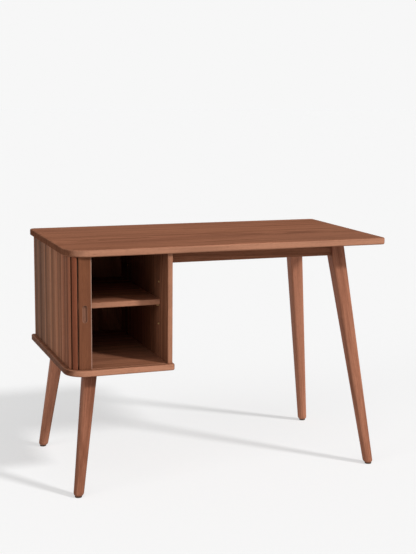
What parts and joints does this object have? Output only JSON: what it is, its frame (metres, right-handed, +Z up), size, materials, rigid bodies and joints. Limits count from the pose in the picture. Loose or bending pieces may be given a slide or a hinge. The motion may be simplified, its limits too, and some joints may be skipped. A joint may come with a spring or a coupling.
{
  "type": "tambour desk",
  "caption": "Writing desk with rounded top, splayed tapered legs and a hung cabinet closed by a sliding tambour of upright slats.",
  "frame": {"origin": "on the floor under the middle of the desktop", "axes": "+X along the desk to the sitter's right, +Y from the front edge to the back, +Z up"},
  "size_m": [1.05, 0.56, 0.76],
  "materials": {
    "walnut_top": "satin lacquered walnut, grain along the desk",
    "walnut_carcass": "satin lacquered walnut",
    "walnut_interior": "satin walnut veneer",
    "walnut_leg": "satin lacquered solid walnut, grain along the leg",
    "walnut_rail": "satin lacquered solid walnut, upright grain",
    "walnut_slat": "satin lacquered walnut slats of mixed tone",
    "beech": "bare beech",
    "brass": "satin brass",
    "steel": "zinc plated",
    "glide_plastic": "black nylon",
    "canvas": "dark brown cotton canvas"
  },
  "bodies": {
    "desk": {"desktop": "walnut_top", "cabinet_base": "walnut_carcass", "side_panel": "walnut_carcass", "back_panel": "walnut_carcass", "inner_side_panel": "walnut_interior", "shelf": "walnut_interior", "shelf_pegs": "brass", "front_apron": "walnut_carcass", "back_apron": "walnut_carcass", "end_apron": "walnut_carcass", "leg_front_left": "walnut_leg", "leg_back_left": "walnut_leg", "leg_front_right": "walnut_leg", "leg_back_right": "walnut_leg", "base_inserts": "steel", "corner_blocks": "beech", "corner_nuts": "steel", "foot_glides": "glide_plastic", "wall_splines": "beech", "loose_tenons": "beech", "glue_blocks": "beech", "hanger_bolts": "steel"},
    "lead_rail": {"tambour_lead_rail": "walnut_rail", "tambour_canvas": "canvas"},
    "slat_01": {"slat_01": "walnut_slat"},
    "slat_02": {"slat_02": "walnut_slat"},
    "front_run": {"slat_03": "walnut_slat", "slat_04": "walnut_slat", "slat_05": "walnut_slat", "slat_06": "walnut_slat", "slat_07": "walnut_slat", "slat_08": "walnut_slat", "slat_09": "walnut_slat", "slat_10": "walnut_slat", "slat_11": "walnut_slat", "slat_12": "walnut_slat", "slat_13": "walnut_slat"},
    "slat_14": {"slat_14": "walnut_slat"},
    "slat_15": {"slat_15": "walnut_slat"},
    "side_run": {"slat_16": "walnut_slat", "slat_17": "walnut_slat", "slat_18": "walnut_slat", "slat_19": "walnut_slat", "slat_20": "walnut_slat", "slat_21": "walnut_slat", "slat_22": "walnut_slat", "slat_23": "walnut_slat", "slat_24": "walnut_slat", "slat_25": "walnut_slat", "slat_26": "walnut_slat", "slat_27": "walnut_slat", "slat_28": "walnut_slat", "slat_29": "walnut_slat"}
  },
  "joints": [
    {"name": "tambour_slide", "type": "slide", "parent": "desk", "child": "lead_rail", "axis": [1, 0, 0], "range_m": [0, 0.236], "deforming": ["tambour_canvas", "slat_01", "slat_02", "slat_03", "slat_04", "slat_05", "slat_06", "slat_07", "slat_08", "slat_09", "slat_10", "slat_11", "slat_12", "slat_13", "slat_14", "slat_15"]},
    {"name": "slat_01_travel", "type": "hinge", "parent": "desk", "child": "slat_01", "pos_m": [-0.36943, 0.08437, 0.567], "axis": [0, 0, 1], "range_deg": [0, 37.88]},
    {"name": "slat_02_travel", "type": "hinge", "parent": "desk", "child": "slat_02", "pos_m": [-0.37843, -0.10558, 0.567], "axis": [0, 0, 1], "range_deg": [0, 76.08]},
    {"name": "front_run_travel", "type": "hinge", "parent": "desk", "child": "front_run", "pos_m": [-0.38171, -0.13671, 0.567], "axis": [0, 0, 1], "range_deg": [0, 90]},
    {"name": "slat_14_travel", "type": "hinge", "parent": "desk", "child": "slat_14", "pos_m": [-0.28306, -0.12878, 0.567], "axis": [0, 0, 1], "range_deg": [0, 56.37]},
    {"name": "slat_15_travel", "type": "hinge", "parent": "desk", "child": "slat_15", "pos_m": [0.23274, -0.11978, 0.567], "axis": [0, 0, 1], "range_deg": [0, 18.17]},
    {"name": "side_run_travel", "type": "slide", "parent": "desk", "child": "side_run", "axis": [0, -1, 0], "range_m": [0, 0.236]}
  ],
  "couplings": [
    {"joint": "slat_01_travel", "follows": "tambour_slide", "rad_per_m": 2.8013},
    {"joint": "slat_02_travel", "follows": "tambour_slide", "rad_per_m": 5.6262},
    {"joint": "front_run_travel", "follows": "tambour_slide", "rad_per_m": 6.6559},
    {"joint": "slat_14_travel", "follows": "tambour_slide", "rad_per_m": 4.1685},
    {"joint": "slat_15_travel", "follows": "tambour_slide", "rad_per_m": 1.3436},
    {"joint": "side_run_travel", "follows": "tambour_slide", "ratio": 1}
  ]
}
